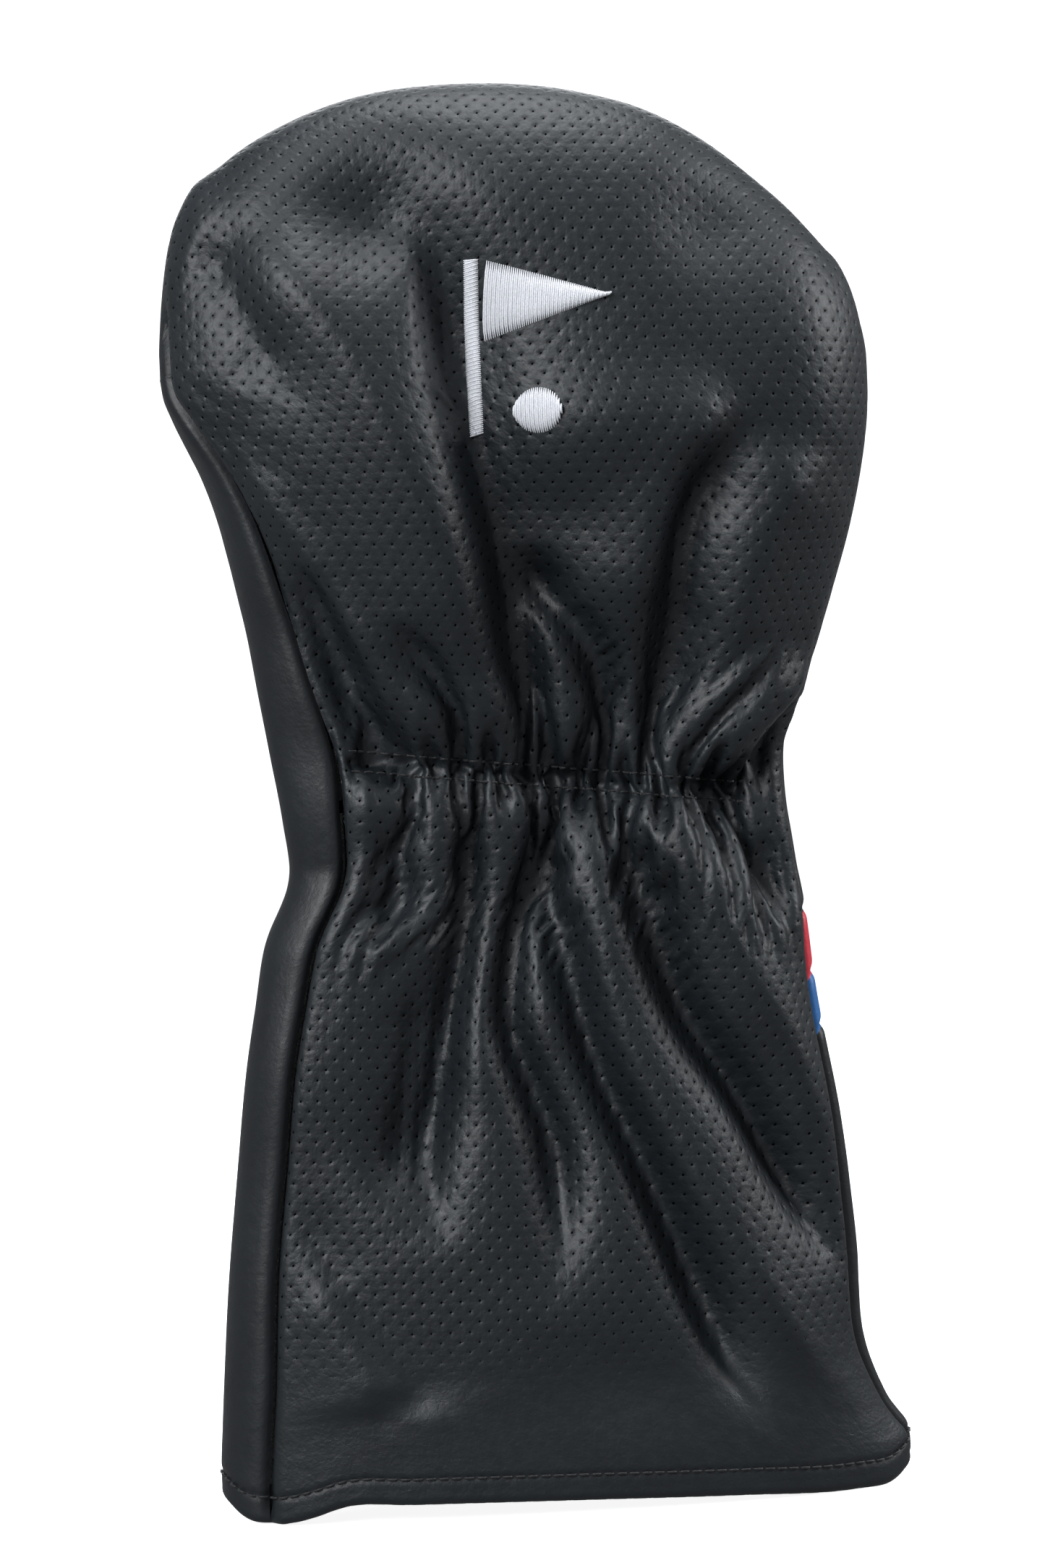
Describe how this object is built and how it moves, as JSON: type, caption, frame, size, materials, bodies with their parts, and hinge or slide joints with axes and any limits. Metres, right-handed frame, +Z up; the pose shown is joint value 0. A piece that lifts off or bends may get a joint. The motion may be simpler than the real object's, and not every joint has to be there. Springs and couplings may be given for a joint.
{
  "type": "driver head cover",
  "caption": "Padded golf driver head cover with a perforated back panel, an elastic waist, a flared skirt with two slanted colour bands and a stitched golf-flag emblem.",
  "frame": {"origin": "on the floor plane, under the middle of the cover, which stands on its open end", "axes": "+Z up from the open end to the crown, -Y out of the perforated back panel, +X to its right seen from the back panel"},
  "size_m": [0.1698, 0.0688, 0.338],
  "materials": {
    "perforated_pu": "satin",
    "smooth_pu": "satin",
    "red_pu": "satin",
    "blue_pu": "satin",
    "foam": "matte",
    "fleece": "matte",
    "elastic": "matte",
    "thread_black": "matte",
    "thread_white": "matte"
  },
  "bodies": {
    "skirt": {"waist_back_gather": "perforated_pu", "waist_front_strip": "smooth_pu", "waist_elastic": "elastic", "waist_lining": "fleece", "elastic_stitching_upper": "thread_black", "elastic_stitching_lower": "thread_black", "skirt_back_panel": "perforated_pu", "skirt_front_upper_panel": "smooth_pu", "skirt_front_red_band": "red_pu", "skirt_front_blue_band": "blue_pu", "skirt_front_lower_panel": "smooth_pu", "skirt_back_lining": "fleece", "skirt_front_lining": "fleece", "hem_stitching_back": "thread_black", "hem_stitching_front": "thread_black"},
    "hood": {"hood_back_panel": "perforated_pu", "hood_front_panel": "smooth_pu", "hood_back_foam": "foam", "hood_front_foam": "foam", "hood_back_lining": "fleece", "hood_front_lining": "fleece", "emblem_pole": "thread_white", "emblem_flag": "thread_white", "emblem_ball": "thread_white"}
  },
  "joints": [
    {"name": "hood_nod", "type": "hinge", "parent": "skirt", "child": "hood", "pos_m": [0, 0, 0.176], "axis": [1, 0, 0], "range_deg": [-28, 28], "stiffness_Nm_per_rad": 0.6, "deforming": ["waist_back_gather", "waist_front_strip", "waist_elastic", "waist_lining", "elastic_stitching_upper", "elastic_stitching_lower"]}
  ]
}
